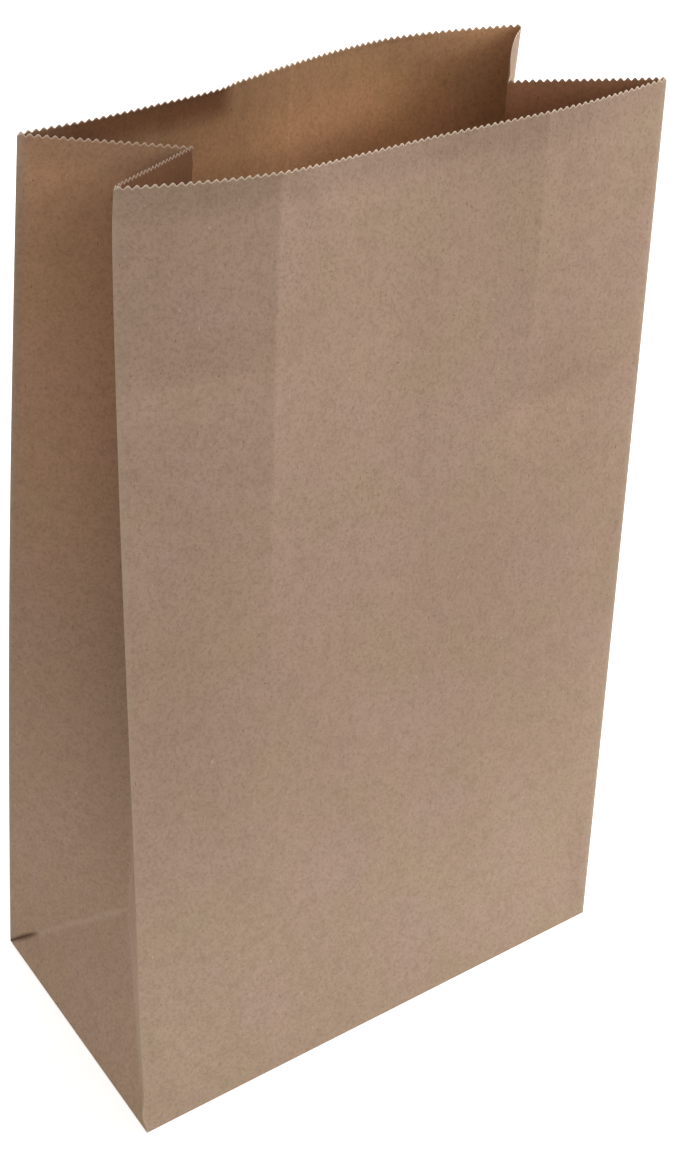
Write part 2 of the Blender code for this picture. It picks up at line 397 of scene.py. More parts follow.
def back_relief(u, h):
    """Back panel: a crease across it where the foot was folded up, the crests where the
    folded gussets have marked it, and uneven waves."""
    out = uneven("back", u, h) - BACK_CREASE * ridge(h, TUCK_HEIGHT, BACK_CREASE_WIDTH)
    crest = BACK_IMPRINT * smooth_step(h, *BACK_IMPRINT_LEVELS)
    for place in (IMPRINT_LEFT, IMPRINT_RIGHT):
        out += crest * ridge(u, place, BACK_IMPRINT_WIDTH)
    return out


def gusset_relief(side, u, h):
    """A gusset: slack waves, pressed flat at its middle fold.

    The right gusset's back leaf sags into the bag at the mouth.
    """
    out = uneven(side, u, h)
    if side == "right":
        sag = LEAF_SAG * bell(u, LEAF_SAG_PLACE, LEAF_SAG_WIDTH)
        out -= sag * smooth_step(h, *LEAF_SAG_LEVELS)
    return out * smooth_step(np.abs(u - DEPTH / 2), 0.0, PRESSED_WIDTH)


def pinch(u, h):
    """The slit at the back left corner of the foot: a groove along the slanting fold.

    Its section is a bell across the fold, and its depth half a sine wave along it.
    """
    along = np.clip((u + h) / 2.0 / PINCH_LENGTH, 0.0, 1.0)
    return PINCH_DEPTH * np.sin(math.pi * along) * bell(h - u, 0.0, PINCH_WIDTH * math.sqrt(2.0))


def slit_shadow_share(u, h):
    """How much painted shadow darkens the slit: a narrower bell than its groove, and darkest at
    the corner.
    """
    along = np.clip((u + h) / 2.0 / PINCH_LENGTH, 0.0, 1.0)
    across = bell(h - u, 0.0, SLIT_NARROWNESS * PINCH_WIDTH * math.sqrt(2.0))
    return (1.0 - along ** 2) * across * (u > -1e-6)


def lip_curl_mm(way):
    """How far the lip curls outwards at its top, in millimetres."""
    return np.interp(way, LIP_MARKS, LIP_CURLS_MM)


def lip_curl(way, height):
    """The band under the teeth curls outwards or inwards as the square of its height."""
    share = np.clip((height - HEIGHT + LIP) / LIP, 0.0, None)
    return 0.001 * lip_curl_mm(way) * share * share


def seam_lift(u):
    """How far the seam lifts the back panel's outer face.

    It lifts at once at its free edge and eases off past the hidden one.
    """
    half = SEAM_LAP / 2
    middle = WIDTH / 2
    marks = (middle - half - UNIT, middle - half, middle + half, middle + half + SEAM_EASE)
    return np.interp(u, marks, (0.0, PAPER, PAPER, 0.0))


def side_points(name, across, height):
    """One side of the bag with its relief, pushed out along the side's own normal.

    The normal is the cross product of the form's slopes across and up the sheet.
    across runs the way that the ring runs: front left to right, right side front to
    back, back right to left, and left side back to front.
    """
    face, width = SIDES[name]
    shares = across / width
    if name in ("right", "back"):
        shares = 1.0 - shares
    u = shares * width

    def form(shares, height):
        if name in ("front", "back"):
            return panel_form(face, shares, height)
        return gusset_form(face, shares, height)

    small = 1e-4
    sense = -1.0 if name in ("right", "back") else 1.0
    slope_across = form(shares + small, height) - form(shares - small, height)
    slope_up = form(shares, height + small * width) - form(shares, height - small * width)
    normal = sense * np.cross(slope_across, slope_up)
    normal /= np.maximum(np.linalg.norm(normal, axis=-1, keepdims=True), 1e-12)
    if name == "front":
        relief = front_relief(u, height)
    elif name == "back":
        relief = back_relief(u, height)
    else:
        relief = gusset_relief(face, u, height)
    relief = relief * clear_of_folds(u, width, height)
    relief = relief + fold_spring(u, width) * smooth_step(height, 0.0, SPRING_LEVEL)
    edge_fade = smooth_step(np.minimum(u, width - u), 0.0, LIP_MARGIN)
    relief = relief + lip_curl(across + SIDE_START[name], height) * edge_fade
    if name == "back":
        relief = relief + seam_lift(u)
    if name == "left":
        relief = relief - pinch(u, height)
    return form(shares, height) + relief[..., None] * normal


def column_marks():
    """Places of the coarse columns round the ring, in units: a cell apart, with extra
    ones beside each fold, the gussets' marks and the seam's edges."""
    seam = round((WIDTH / 2 - SEAM_LAP / 2) / UNIT)
    marks = set(range(0, PANEL_UNITS + 1, CELL))
    for offset in FOLD_MARKS:
        marks |= {offset, PANEL_UNITS - offset}
        for imprint in (IMPRINT_LEFT, IMPRINT_RIGHT):
            marks |= {round(imprint / UNIT) - 2 * offset, round(imprint / UNIT) + 2 * offset}
    marks |= {seam - 1, seam, PANEL_UNITS - seam, PANEL_UNITS - seam + 1}
    panel = np.array(sorted(marks))
    marks = set(range(0, GUSSET_UNITS + 1, CELL))
    middle = GUSSET_UNITS // 2
    for offset in (*FOLD_MARKS, *range(0, PINCH_UNITS, 2)):
        marks |= {offset, GUSSET_UNITS - offset}
    for offset in FOLD_MARKS:
        marks |= {middle - offset, middle + offset}
    return panel, np.array(sorted(marks))


def ring_points(columns, heights):
    """The sheet's outer face at ring columns (in units) and heights, as an array.

    heights has one row for each row of the result and one column for each column.
    """
    way = columns * UNIT
    parts = []
    for name, start in SIDE_START.items():
        width = SIDES[name][1]
        chosen = (way > start - 1e-9) & (way < start + width - 1e-9)
        across = np.broadcast_to(way[chosen] - start, heights[:, chosen].shape)
        parts.append(side_points(name, across, heights[:, chosen]))
    return np.concatenate(parts, axis=1)


def tooth_heights(columns):
    """Height of the cut edge: rounded teeth, each a half cosine with a narrow root."""
    phase = 2.0 * math.pi * columns * UNIT / TOOTH_PITCH
    wave = 0.5 - 0.5 * np.cos(phase)
    return HEIGHT - TOOTH_DEPTH * (1.0 - wave ** TOOTH_FULLNESS)


def grid_triangles(index, rising):
    """Two triangles for each cell of a grid of vertex numbers, split as rising says.

    A rising split joins a cell's lower left corner to its upper right one.
    """
    a, b = index[:-1, :-1], index[:-1, 1:]
    d, c = index[1:, :-1], index[1:, 1:]
    rising = np.broadcast_to(rising, a.shape)[..., None]
    first = np.where(rising, np.stack((a, b, c), -1), np.stack((a, b, d), -1))
    second = np.where(rising, np.stack((a, c, d), -1), np.stack((b, c, d), -1))
    return np.concatenate((first.reshape(-1, 3), second.reshape(-1, 3)))


def fan_triangles(lower, upper, places, fine_places):
    """Joins a coarse row of vertex numbers to a fine one, whose places include its own.

    Each fine step makes a triangle with the coarse vertex at or before it, and each
    coarse step one with the fine vertex at its end.
    """
    owner = np.searchsorted(places, fine_places[:-1], side="right") - 1
    fans = np.stack((lower[owner], upper[1:], upper[:-1]), -1)
    ends = np.searchsorted(fine_places, places[1:])
    wedges = np.stack((lower[:-1], lower[1:], upper[ends]), -1)
    return np.concatenate((fans, wedges))


def point_normals(points, triangles):
    """The mean direction of the triangles round each point, weighed by their angles."""
    corners = points[triangles]
    face = np.cross(corners[:, 1] - corners[:, 0], corners[:, 2] - corners[:, 0])
    face /= np.maximum(np.linalg.norm(face, axis=1, keepdims=True), 1e-15)
    total = np.zeros_like(points)
    for k in range(3):
        ahead = corners[:, (k + 1) % 3] - corners[:, k]
        behind = corners[:, (k + 2) % 3] - corners[:, k]
        cosine = np.sum(ahead * behind, axis=1)
        cosine /= np.linalg.norm(ahead, axis=1) * np.linalg.norm(behind, axis=1)
        angle = np.arccos(np.clip(cosine, -1.0, 1.0))
        np.add.at(total, triangles[:, k], face * angle[:, None])
    return total / np.maximum(np.linalg.norm(total, axis=1, keepdims=True), 1e-12)


def closed(index):
    """A grid of vertex numbers with its first column again at its end."""
    return np.concatenate((index, index[:, :1]), axis=1)


def foot_relief(x, y):
    """The foot's inner face: the tucked ends lie on it, and it is never quite flat."""
    end = np.minimum(np.abs(np.abs(x) - WIDTH / 2), WIDTH)
    side = DEPTH / 2 - np.abs(y)
    tucked = smooth_step(side - end, *TUCKED_EDGE)
    edge = smooth_step(np.minimum(end, side), 0.0, FOOT_EDGE)
    out = PAPER * tucked * smooth_step(end, 0.0, TUCKED_START)
    out += edge * (FOOT_SWELL + uneven("foot", x, y))
    out -= FOOT_CREASE * ridge(y, 0.0, FOOT_CREASE_WIDTH) * edge
    return out


def ring_columns(panel, gusset):
    """The coarse columns round the whole ring, in units from the front left fold."""
    return np.concatenate((
        panel[:-1],
        PANEL_UNITS + gusset[:-1],
        PANEL_UNITS + GUSSET_UNITS + PANEL_UNITS - panel[:0:-1],
        2 * PANEL_UNITS + GUSSET_UNITS + gusset[:-1],
    ))


def sheet_rows(gusset):
    """Heights of the coarse rows: where the gusset's columns meet the slanting folds up
    to the tuck, and evenly spaced above it."""
    low_rows = gusset[gusset <= GUSSET_UNITS // 2] * UNIT
    count = round((BAND_START - TUCK_HEIGHT) / ROW_HEIGHT)
    return np.concatenate((low_rows, np.linspace(TUCK_HEIGHT, BAND_START, count + 1)[1:]))


def falls(columns):
    """Whether the cells right of each column are split falling, as they are in a
    gusset's half past its middle fold, so that the splits follow the slanting folds."""
    in_first = (columns >= PANEL_UNITS) & (columns < PANEL_UNITS + GUSSET_UNITS)
    start = np.where(in_first, PANEL_UNITS, 2 * PANEL_UNITS + GUSSET_UNITS)
    return columns - start >= GUSSET_UNITS // 2


def outer_wall(columns, fine, rows):
    """The outer face: its points, its triangles, and the numbers of its points in the
    coarse body and in the fine band under the teeth."""
    body = ring_points(columns, np.repeat(rows[:, None], len(columns), axis=1))
    start = BAND_START + TOOTH_BAND / 2
    shares = np.array(BAND_ROWS)[:, None]
    band = ring_points(fine, start + (tooth_heights(fine) - start)[None, :] * shares)
    points = np.concatenate((body.reshape(-1, 3), band.reshape(-1, 3)))
    body_index = np.arange(len(rows) * len(columns)).reshape(len(rows), len(columns))
    band_index = body_index.size + np.arange(len(shares) * len(fine)).reshape(-1, len(fine))
    total_units = len(fine)
    wall = grid_triangles(closed(body_index), ~falls(columns)[None, :])
    fans = fan_triangles(
        closed(body_index)[-1], closed(band_index)[0],
        np.append(columns, total_units), np.append(fine, total_units),
    )
    teeth = grid_triangles(closed(band_index), fine[None, :] % CELL < CELL // 2)
    return points, np.concatenate((wall, fans, teeth)), body_index, band_index


def bag_mesh():
    """The whole sheet as one closed wall: its outer face, inner face, rim and foot.

    The inner face lies one thickness of paper inside the outer one, along its normals,
    and two at the seam. Also gives the foot's border and the marks on the points.
    """
    panel, gusset = column_marks()
    columns = ring_columns(panel, gusset)
    rows = sheet_rows(gusset)
    fine = np.arange(2 * (PANEL_UNITS + GUSSET_UNITS))
    outer_points, outer, body_index, band_index = outer_wall(columns, fine, rows)
    way = np.concatenate((
        np.tile(columns * UNIT, len(rows)),
        np.tile(fine * UNIT, len(BAND_ROWS)),
    ))
    height = np.concatenate((np.repeat(rows, len(columns)), np.full(band_index.size, HEIGHT)))

    layers = np.where(np.abs(way - SEAM_MIDDLE) < SEAM_LAP / 2 + 1e-6, 2.0, 1.0)
    normals = point_normals(outer_points, outer)
    inner_points = outer_points - normals * (PAPER * layers)[:, None]
    inner_points[body_index[0], 2] += PAPER
    offset = len(outer_points)
    top_row = closed(band_index)[-1]
    rim = grid_triangles(np.stack((top_row, top_row + offset)), True)
    foot_points, foot_triangles = foot_grid(body_index[0] + offset, panel, gusset, 2 * offset)

    points = np.concatenate((outer_points, inner_points, foot_points))
    triangles = np.concatenate((outer, outer[:, ::-1] + offset, rim, foot_triangles))
    rim_share = np.repeat(smooth_step(np.array(BAND_ROWS), *CUT_SHARES), len(fine))
    cut = np.concatenate((np.zeros(body_index.size), rim_share))
    return points, triangles, body_index[0][::-1], point_marks(way, height, cut, len(foot_points))


def point_marks(way, height, cut, foot_count):
    """What the material reads from the outer face's, inner face's and foot's points."""
    seam_edge = SEAM_MIDDLE + SEAM_LAP / 2 + UNIT
    outer_cut = np.maximum(cut, SEAM_PALENESS * bell(way, seam_edge, UNIT))
    inner_cut = cut * (1.0 - GUSSET_CUT_DULLNESS * in_gusset(way))
    slit = slit_shadow_share(way - SIDE_START["left"], height)
    plain_wall = np.zeros(len(way))
    plain_foot = np.zeros(foot_count)
    # the foot's inside takes the painted light of the back panel's left part
    foot_painted_light = np.tile(INSIDE_LIGHT_LEFT, (foot_count, 1))
    return {
        "cut": np.concatenate((outer_cut, inner_cut, plain_foot)),
        "fold": np.concatenate((fold_nearness(way, height), plain_wall, plain_foot)),
        "slit": np.concatenate((slit, slit, plain_foot)),
        "painted_light": np.concatenate((outer_painted_light(way, height), inner_painted_light(way, height), foot_painted_light)),
    }


def from_middle_fold(way):
    """Distance round the ring from the nearer gusset's middle fold."""
    return np.min([np.abs(way - middle) for middle in MIDDLE_FOLDS], axis=0)


def fold_nearness(way, height):
    """1 on the corner, middle and slanting folds, dying away as an exponential."""
    corners = np.min([np.abs(way - end) for end in (*SIDE_START.values(), AROUND)], axis=0)
    across = from_middle_fold(way)
    slant = np.abs(DEPTH / 2 - across - height) / math.sqrt(2.0)
    inner = np.where(height > TUCK_HEIGHT, across, slant)
    near = np.minimum(corners, np.where(across < DEPTH / 2, inner, 1.0))
    return np.exp(-near / FOLD_WIDTH)


def in_gusset(way):
    """1 in the gussets and 0 in the panels, with a soft edge at the corner folds."""
    return smooth_step(DEPTH / 2 - from_middle_fold(way), 0.0, GUSSET_EDGE)


def outer_painted_light(way, height):
    """Shares of the paper's colour outside: the product of a warm, a pale and a dull one.

    The warm share is painted glow high in the shaded left gusset, and the pale one painted
    floor light towards the foot. The dull one paints shade beside that gusset's middle fold,
    under the curled lip and high on the right gusset's back leaf, and highlights and shade at the
    dents.
    """
    in_left = in_gusset(way) * (way > SIDE_START["left"])
    # painted warm glow, high in the left gusset
    painted_glow = in_left * smooth_step(height, *GUSSET_GLOW_LEVELS)
    warm = 1.0 + (np.array(GUSSET_GLOW) - 1.0) * painted_glow[:, None]

    # painted floor light, low down
    low = 1.0 - smooth_step(height, *FLOOR_LIGHT_LEVELS)
    share = in_gusset(way)[:, None]
    floor_light = np.array(PANEL_FLOOR_LIGHT) * (1.0 - share) + np.array(GUSSET_FLOOR_LIGHT) * share
    pale = 1.0 + floor_light * low[:, None]

    # painted shade on the curled lip and high on the right gusset's back leaf
    lip = smooth_step(height, *OUTER_LIP_LEVELS)
    curled = np.maximum(lip_curl_mm(way), LEFT_LIP_SHADE * in_left)
    right_leaf = bell(way, RIGHT_LEAF_PLACE, SHADE_WIDTH)
    right_leaf = right_leaf * smooth_step(height, *RIGHT_LEAF_LEVELS)
    dull = 1.0 - CURLED_LIP_SHADE * lip * curled - RIGHT_LEAF_SHADE * right_leaf
    # painted highlights and shade at the dents
    dull = dull + dent_light(way, height) * (way < WIDTH)
    # painted shade beside the left gusset's middle fold
    beside_fold = bell(way, LEFT_FOLD_PLACE, SHADE_WIDTH)
    beside_fold = beside_fold * bell(height, FOLD_SHADE_LEVEL, FOLD_SHADE_REACH)
    dull = dull * (1.0 - FOLD_SHADE * beside_fold)
    return warm * pale * dull[:, None]


def inner_painted_light(way, height):
    """Shares of the paper's colour inside.

    It paints a warm glow where light comes through the back panel, more so deep inside where
    less comes in by the mouth, and paints shade in the gussets' pockets and under the lip
    that curls inwards.
    """
    channels = zip(INSIDE_LIGHT_LEFT, INSIDE_LIGHT_RIGHT)
    # painted light across the back panel's inside
    painted_light = np.stack([np.interp(-way, (-GLOW_LEFT, -GLOW_RIGHT), pair) for pair in channels], 1)
    # painted shade in the gussets' pockets
    share = in_gusset(way)[:, None]
    is_left_front = (way > SIDE_START["left"] + DEPTH / 2)[:, None]
    pocket = np.where(is_left_front, LEFT_POCKET_SHADE, POCKET_SHADE)
    painted_light = painted_light * (1.0 - share) + pocket * share

    # painted shade under the lip curled inwards
    lip = smooth_step(height, *INNER_LIP_LEVELS)
    curled_in = np.clip(-lip_curl_mm(way), 0.0, None)
    painted_light = painted_light * (1.0 - np.array(LIP_SHADE) * (lip * curled_in)[:, None])

    # painted glow deep inside and painted shade just under the rim
    left_gain, right_gain = (
        np.interp(HEIGHT - height, GLOW_DEPTHS, gains) for gains in (LEFT_GAINS, RIGHT_GAINS)
    )
    gain = right_gain + (left_gain - right_gain) * smooth_step(way, GLOW_RIGHT, GLOW_LEFT)
    evened = smooth_step(way, GLOW_END, GLOW_RIGHT) * (1.0 - in_gusset(way))
    return painted_light * (1.0 + evened * (gain - 1.0))[:, None]


def foot_grid(ring, panel, gusset, first):
    """The foot's inner face: a grid whose border is the wall's inner bottom row."""
    nx, ny = len(panel), len(gusset)
    index = np.empty((ny, nx), int)
    index[0] = ring[:nx]
    index[:, -1] = ring[nx - 1:nx + ny - 1]
    index[-1, ::-1] = ring[nx + ny - 2:2 * nx + ny - 2]
    index[::-1, 0][:-1] = ring[2 * nx + ny - 3:]
    index[1:-1, 1:-1] = first + np.arange((nx - 2) * (ny - 2)).reshape(ny - 2, nx - 2)
    inset = (WIDTH / 2 - PAPER) / (WIDTH / 2)
    x = (panel[1:-1] * UNIT - WIDTH / 2) * inset
    y = (gusset[1:-1] * UNIT - DEPTH / 2) * (DEPTH / 2 - PAPER) / (DEPTH / 2)
    x, y = np.meshgrid(x, y)
    z = FOOT_LEVEL + PAPER + foot_relief(x, y)
    points = np.stack((x, y, z), -1).reshape(-1, 3)
    return points, grid_triangles(index, True)


def mesh_object(name, points, faces, attributes=None):
    """A new object with its place in its mesh, shaded smooth."""
    data = bpy.data.meshes.new(name)
    data.from_pydata(points.tolist(), [], faces)
    for key, values in (attributes or {}).items():
        kind, field = ("FLOAT", "value") if values.ndim == 1 else ("FLOAT_VECTOR", "vector")
        layer = data.attributes.new(key, kind, "POINT")
        layer.data.foreach_set(field, values.astype(np.float32).ravel())
    data.shade_smooth()
    data.update()
    obj = bpy.data.objects.new(name, data)
    bpy.context.scene.collection.objects.link(obj)
    return obj


def long_flap(name, sign, low, high):
    """A long flap of the foot: a plate with its ends cut back at 45 degrees."""
    reach = DEPTH / 2 + FLAP_LAP / 2
    half = WIDTH / 2 - FLAP_INSET
    fold = DEPTH / 2 - FLAP_INSET
    outline = [
        (-half, sign * fold),
        (half, sign * fold),
        (half - reach, sign * (fold - reach)),
        (reach - half, sign * (fold - reach)),
    ]
    if sign > 0:
        outline.reverse()
    points = np.array([(x, y, z) for z in (low, high) for x, y in outline])
    faces = [(3, 2, 1, 0), (4, 5, 6, 7)]
    faces += [(k, (k + 1) % 4, (k + 1) % 4 + 4, k + 4) for k in range(4)]
    return mesh_object(name, points, faces)


def unite(obj, tool):
    """Joins a tool to an object for good and removes the tool."""
    modifier = obj.modifiers.new(tool.name, "BOOLEAN")
    modifier.operation = "UNION"
    modifier.solver = "EXACT"
    modifier.object = tool
    bpy.context.view_layer.update()
    evaluated = obj.evaluated_get(bpy.context.evaluated_depsgraph_get())
    mesh = bpy.data.meshes.new_from_object(evaluated)
    obj.modifiers.clear()
    obj.data = mesh
    bpy.data.objects.remove(tool)


def make_bag():
    """The sheet with its two long flaps glued on under the foot, and its material."""
    points, triangles, under, attributes = bag_mesh()
    faces = triangles.tolist() + [under.tolist()]
    bag = mesh_object("kraft_bag", points, faces, attributes)
    unite(bag, long_flap("front_flap", -1, PAPER, FOOT_LEVEL + FRONT_FLAP_BITE))
    unite(bag, long_flap("back_flap", 1, 0.0, FOOT_LEVEL + BACK_FLAP_BITE))
    bag.data.materials.clear()
    bag.data.materials.append(kraft_paper())
    bag.data.shade_smooth()
    bag.data.set_sharp_from_angle(angle=math.radians(SHARP_ANGLE))
    return bag


def linear(hex_colour):
    """An sRGB hex colour as linear RGBA."""
    values = [int(hex_colour[k:k + 2], 16) / 255 for k in (1, 3, 5)]
    return (*[v / 12.92 if v <= 0.04045 else ((v + 0.055) / 1.055) ** 2.4 for v in values], 1.0)


KRAFT = "#A88D78"         # unbleached pulp
KRAFT_DARK = "#89705C"    # its denser spots
KRAFT_PINK = "#AB8D80"
KRAFT_OLIVE = "#A48E74"
# painted shadow in the pinched slit
SLIT_SHADOW = "#55261A"
CUT_FIBRES_AND_GLINT = "#F0DCC6"      # torn fibres of the cut edge, paler still as a painted highlight on the teeth
FIBRE_DARK = "#5E4432"
FIBRE_LIGHT = "#CDB79E"
PAPER_ROUGHNESS = 0.88    # uncoated and dull
PAPER_SHINE = 0.25
FELT_SCALE = 1100.0       # the felt's marks, about 0.9 mm apart
FELT_DEPTH = 0.0002
FELT_STRENGTH = 0.30
FELT_DETAIL = 3.0
NOISE_ROUGHNESS = 0.55    # of all its noise

# Shares of the paper's colour, as red, green and blue, that paint light and shade on it
# Painted light inside: dimmer on the back panel's left part, which the foot shares, and a warm
# glow on its right
INSIDE_LIGHT_LEFT = (0.92, 0.74, 0.52)
INSIDE_LIGHT_RIGHT = (1.85, 1.50, 1.05)
POCKET_SHADE = (0.79, 0.54, 0.36)         # painted shade inside a gusset
LEFT_POCKET_SHADE = (0.42, 0.27, 0.17)    # and painted shade inside the left one's front leaf
GUSSET_GLOW = (1.32, 1.12, 0.91)         # painted warm glow high in the left gusset, outside
GUSSET_GLOW_LEVELS = (0.05, 0.34)               # it grows between these heights
PANEL_FLOOR_LIGHT = (0.20, 0.25, 0.27)       # painted floor light added low on the panels
GUSSET_FLOOR_LIGHT = (0.34, 0.34, 0.30)     # and painted light low on the gussets, which the floor lights
FLOOR_LIGHT_LEVELS = (0.02, 0.17)               # both fade out between these heights
LIP_SHADE = (0.26, 0.35, 0.39)           # taken off under a lip curled in by a millimetre
INNER_LIP_LEVELS = (HEIGHT - 0.014, HEIGHT - 0.006)

# Where the back panel's painted glow starts, is full and ends in the dark corner, round the
# ring, and how strong it is at depths under the rim, where it falls to painted shade
GLOW_LEFT = 0.425
GLOW_RIGHT = 0.360
GLOW_END = 0.318
GLOW_DEPTHS = (0.0, 0.010, 0.024, 0.060, 0.120)
RIGHT_GAINS = (0.50, 0.78, 1.45, 1.36, 1.0)
LEFT_GAINS = (0.76, 0.95, 1.46, 1.36, 1.0)

# Shares of painted shade taken off or painted light added outside, then other marks' shares and
# widths
CURLED_LIP_SHADE = 0.11       # painted shade on a lip curled out by a millimetre
OUTER_LIP_LEVELS = (HEIGHT - 0.013, HEIGHT - 0.006)
LEFT_LIP_SHADE = 1.8      # the left gusset's lip has as much painted shade as one curled so many millimetres
RIGHT_LEAF_SHADE = 0.22   # high on the right gusset's back leaf
RIGHT_LEAF_PLACE = SIDE_START["right"] + 0.085
RIGHT_LEAF_LEVELS = (0.22, 0.32)
FOLD_SHADE = 0.20         # beside the left gusset's middle fold
FOLD_SHADE_LEVEL = 0.20
FOLD_SHADE_REACH = 0.10
LEFT_FOLD_PLACE = SIDE_START["left"] + 0.46 * DEPTH
SHADE_WIDTH = 0.020       # of these two shades, round the ring
DENT_GLINT = 0.17         # under the dents' lines
DENT_SHADE = 0.06         # and above them
SEAM_PALENESS = 0.5       # of the seam's free cut edge
GUSSET_CUT_DULLNESS = 0.5
FOLD_WIDTH = 0.0008       # of the pale line along a pressed fold
GUSSET_EDGE = 0.004       # a gusset's own tints fade in this far from its corner folds

# Light
ROOM_LIGHT = 0.40         # the even room, where a strength of 1 is white
FLOOR_LIFT = 0.64         # added to the floor for the rays that show the background
FLOOR_REACH = 3.0
FLOOR_WHITE = "#F2F2F0"
FLOOR_ROUGHNESS = 0.9
WHITE = "#FFFFFF"
LAMP_TARGET = (0.0, 0.0, 0.12)
LAMPS = (
    ("key", (1.40, -0.62, 0.66), 1.4, 28.0),     # name, place, width and power in watts
    ("fill", (-1.7, -0.5, 0.35), 1.6, 5.3),
    ("back", (0.2, 1.8, 1.0), 1.6, 14.0),
)

EVEN = (1.0, 1.0, 1.0)
STRAND = (1.0, 1.0, 0.16)
NO_TURN = (0, 0, 0)

# The paper's pattern, one layer over another. Each is noise of a size in millimetres
# with a detail, a stretch and a turn, and blends in its colour from one level of the
# noise to another, up to a greatest share.
PAPER_LAYERS = (
    (38.0, 2.0, EVEN, NO_TURN, 0.42, 0.68, KRAFT_PINK, 0.50),     # pinkish clouds
    (24.0, 2.0, EVEN, (40, 0, 0), 0.45, 0.70, KRAFT_OLIVE, 0.50),  # olive clouds
    (5.0, 3.0, EVEN, (0, 40, 0), 0.40, 0.70, KRAFT_DARK, 0.20),   # mottle
    (1.3, 2.0, EVEN, (0, 0, 40), 0.42, 0.72, KRAFT_DARK, 0.45),   # grain
    (0.6, 2.0, EVEN, (20, 0, 20), 0.45, 0.75, KRAFT_DARK, 0.45),  # fine grain
    (0.45, 0.5, STRAND, (0, 35, 0), 0.78, 0.84, FIBRE_DARK, 0.70),  # loose dark fibres
    (0.45, 0.5, STRAND, (0, -50, 30), 0.78, 0.84, FIBRE_DARK, 0.70),
    (0.45, 0.5, STRAND, (50, 80, 60), 0.78, 0.84, FIBRE_DARK, 0.70),
    (0.5, 0.5, STRAND, (0, 10, 70), 0.79, 0.83, FIBRE_LIGHT, 0.50),  # loose pale fibres
    (0.5, 0.5, STRAND, (30, -70, 40), 0.79, 0.83, FIBRE_LIGHT, 0.50),
    (1.1, 0.0, EVEN, (70, 20, 0), 0.86, 0.89, FIBRE_DARK, 0.60),  # rare specks
)

# Shares of a colour that the mesh marks on its points. The slit's colour is painted shadow, and
# the cut edge's is pale fibres with a painted highlight.
PAPER_MARKS = (("fold", FIBRE_LIGHT, 0.35), ("slit", SLIT_SHADOW, 0.9), ("cut", CUT_FIBRES_AND_GLINT, 1.0))


def add_node(tree, kind, settings=None, inputs=None):
    """Adds a node. settings are its properties, and inputs are values or links."""
    node = tree.nodes.new(kind)
    for key, value in (settings or {}).items():
        setattr(node, key, value)
    for key, value in (inputs or {}).items():
        socket = node.inputs[key]
        if isinstance(value, bpy.types.NodeSocket):
            tree.links.new(value, socket)
        else:
            socket.default_value = value
    return node


def new_material(name):
    """A new material with its nodes and its shader."""
    material = bpy.data.materials.new(name)
    material.use_nodes = True
    return material, material.node_tree, material.node_tree.nodes["Principled BSDF"]


def kraft_paper():
    """Unbleached kraft paper, made on a machine and uncoated.

    To the eye it is a dull brown sheet with soft clouds, a fine grain, loose fibres dark
    and pale, and a felt of shallow marks. Layer by layer, a colour is mixed in by noise.
    """
    material, tree, shader = new_material("kraft_paper")
    place = add_node(tree, "ShaderNodeTexCoord").outputs["Object"]
    colour = linear(KRAFT)
    for size, detail, stretch, turn, low, high, layer, most in PAPER_LAYERS:
        mapped = add_node(tree, "ShaderNodeMapping", {}, {
            "Vector": place,
            "Rotation": [math.radians(angle) for angle in turn],
            "Scale": stretch,
        })
        noise = add_node(tree, "ShaderNodeTexNoise", {}, {
            "Vector": mapped.outputs["Vector"],
            "Scale": 1000.0 / size,
            "Detail": detail,
            "Roughness": NOISE_ROUGHNESS,
        })
        share = add_node(tree, "ShaderNodeMapRange", {"interpolation_type": "SMOOTHSTEP"}, {
            "Value": noise.outputs["Fac"], "From Min": low, "From Max": high, "To Max": most,
        })
        colour = add_node(tree, "ShaderNodeMix", {"data_type": "RGBA"}, {
            0: share.outputs["Result"], 6: colour, 7: linear(layer),
        }).outputs[2]
    # the points' painted light and shade multiply the colour
    painted_light = add_node(tree, "ShaderNodeAttribute", {"attribute_name": "painted_light"})
    colour = add_node(tree, "ShaderNodeVectorMath", {"operation": "MULTIPLY"}, {
        0: colour, 1: painted_light.outputs["Vector"],
    }).outputs["Vector"]
    for mark, marking, most in PAPER_MARKS:
        marked = add_node(tree, "ShaderNodeAttribute", {"attribute_name": mark})
        share = add_node(tree, "ShaderNodeMath", {"operation": "MULTIPLY"}, {
            0: marked.outputs["Fac"], 1: most,
        })
        colour = add_node(tree, "ShaderNodeMix", {"data_type": "RGBA"}, {
            0: share.outputs["Value"], 6: colour, 7: linear(marking),
        }).outputs[2]
    tree.links.new(colour, shader.inputs["Base Color"])
    shader.inputs["Roughness"].default_value = PAPER_ROUGHNESS
    shader.inputs["Specular IOR Level"].default_value = PAPER_SHINE
    felt = add_node(tree, "ShaderNodeTexNoise", {}, {
        "Vector": place,
        "Scale": FELT_SCALE,
        "Detail": FELT_DETAIL,
        "Roughness": NOISE_ROUGHNESS,
    })
    bump = add_node(tree, "ShaderNodeBump", {}, {
        "Strength": FELT_STRENGTH, "Distance": FELT_DEPTH, "Height": felt.outputs["Fac"],
    })
    tree.links.new(bump.outputs["Normal"], shader.inputs["Normal"])
    return material


def background_rays(tree):
    """1 for the rays that show the background: camera, glossy and transmission rays."""
    path = add_node(tree, "ShaderNodeLightPath")
    share = path.outputs["Is Camera Ray"]
    for kind in ("Is Glossy Ray", "Is Transmission Ray"):
        share = add_node(tree, "ShaderNodeMath", {"operation": "MAXIMUM"}, {
            0: share, 1: path.outputs[kind],
        }).outputs["Value"]
    return share


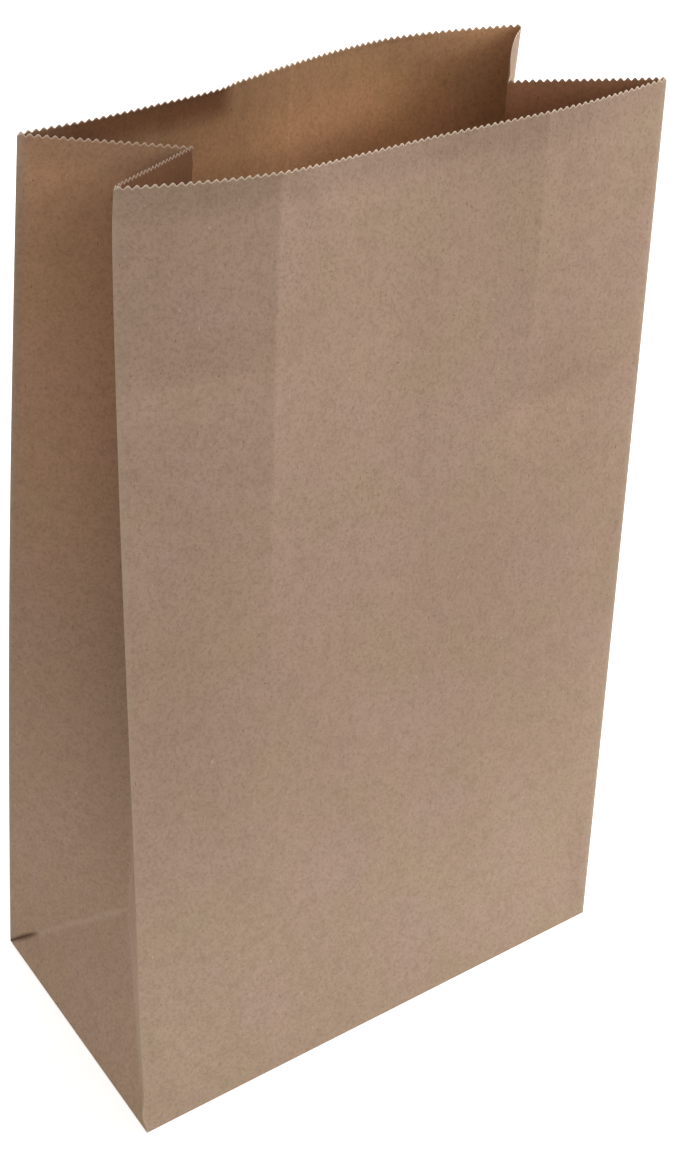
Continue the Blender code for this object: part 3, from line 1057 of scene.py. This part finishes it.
def pale_floor():
    """A plain pale floor. The camera sees it lifted to white, with the bag's shadow."""
    signs = np.array([(-1, -1, 0), (1, -1, 0), (1, 1, 0), (-1, 1, 0)])
    floor = mesh_object("floor", FLOOR_REACH * signs, [(0, 1, 2, 3)])
    material, tree, shader = new_material("pale_floor")
    shader.inputs["Base Color"].default_value = linear(FLOOR_WHITE)
    shader.inputs["Roughness"].default_value = FLOOR_ROUGHNESS
    shader.inputs["Specular IOR Level"].default_value = 0.0
    shader.inputs["Emission Color"].default_value = linear(WHITE)
    lift = add_node(tree, "ShaderNodeMath", {"operation": "MULTIPLY"}, {
        0: background_rays(tree), 1: FLOOR_LIFT,
    })
    tree.links.new(lift.outputs["Value"], shader.inputs["Emission Strength"])
    floor.data.materials.append(material)


def add_camera():
    """The photograph's view: azimuth, height and roll of the camera about its target."""
    azimuth = math.radians(-35.139)
    elevation = math.radians(33.708)
    roll = math.radians(1.730)
    distance = 0.62473
    target = Vector((0.01682, 0.00416, 0.15872))
    back = Vector((
        math.sin(azimuth) * math.cos(elevation),
        -math.cos(azimuth) * math.cos(elevation),
        math.sin(elevation),
    ))
    right = Vector((math.cos(azimuth), math.sin(azimuth), 0.0))
    up = back.cross(right)
    x_axis = math.cos(roll) * right + math.sin(roll) * up
    y_axis = -math.sin(roll) * right + math.cos(roll) * up
    data = bpy.data.cameras.new("camera")
    data.sensor_fit = "VERTICAL"
    data.sensor_height = 36.0
    data.lens = 55.006
    camera = bpy.data.objects.new("camera", data)
    rotation = Matrix((x_axis, y_axis, back)).transposed().to_4x4()
    camera.matrix_world = Matrix.Translation(target + back * distance) @ rotation
    bpy.context.scene.collection.objects.link(camera)
    bpy.context.scene.camera = camera


def add_lamp(name, place, target, size, power):
    """A round lamp that faces its target."""
    data = bpy.data.lights.new(name, "AREA")
    data.shape = "DISK"
    data.size = size
    data.energy = power
    lamp = bpy.data.objects.new(name, data)
    lamp.location = place
    lamp.rotation_euler = (Vector(target) - Vector(place)).to_track_quat("-Z", "Y").to_euler()
    bpy.context.scene.collection.objects.link(lamp)


def add_light():
    """Soft studio light: a dim even room, a large low lamp in front on the right, and
    weak ones on the left and behind."""
    world = bpy.data.worlds.new("room")
    world.use_nodes = True
    tree = world.node_tree
    background = tree.nodes["Background"]
    background.inputs["Color"].default_value = linear(WHITE)
    strength = add_node(tree, "ShaderNodeMapRange", {}, {
        "Value": background_rays(tree), "To Min": ROOM_LIGHT, "To Max": 1.0,
    })
    tree.links.new(strength.outputs["Result"], background.inputs["Strength"])
    bpy.context.scene.world = world
    for name, place, size, power in LAMPS:
        add_lamp(name, place, LAMP_TARGET, size, power)


def main():
    bag = make_bag()
    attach(bag, "root")
    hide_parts("paper_bag")
    pale_floor()
    add_camera()
    add_light()
    bpy.context.scene.view_settings.view_transform = "Standard"


main()
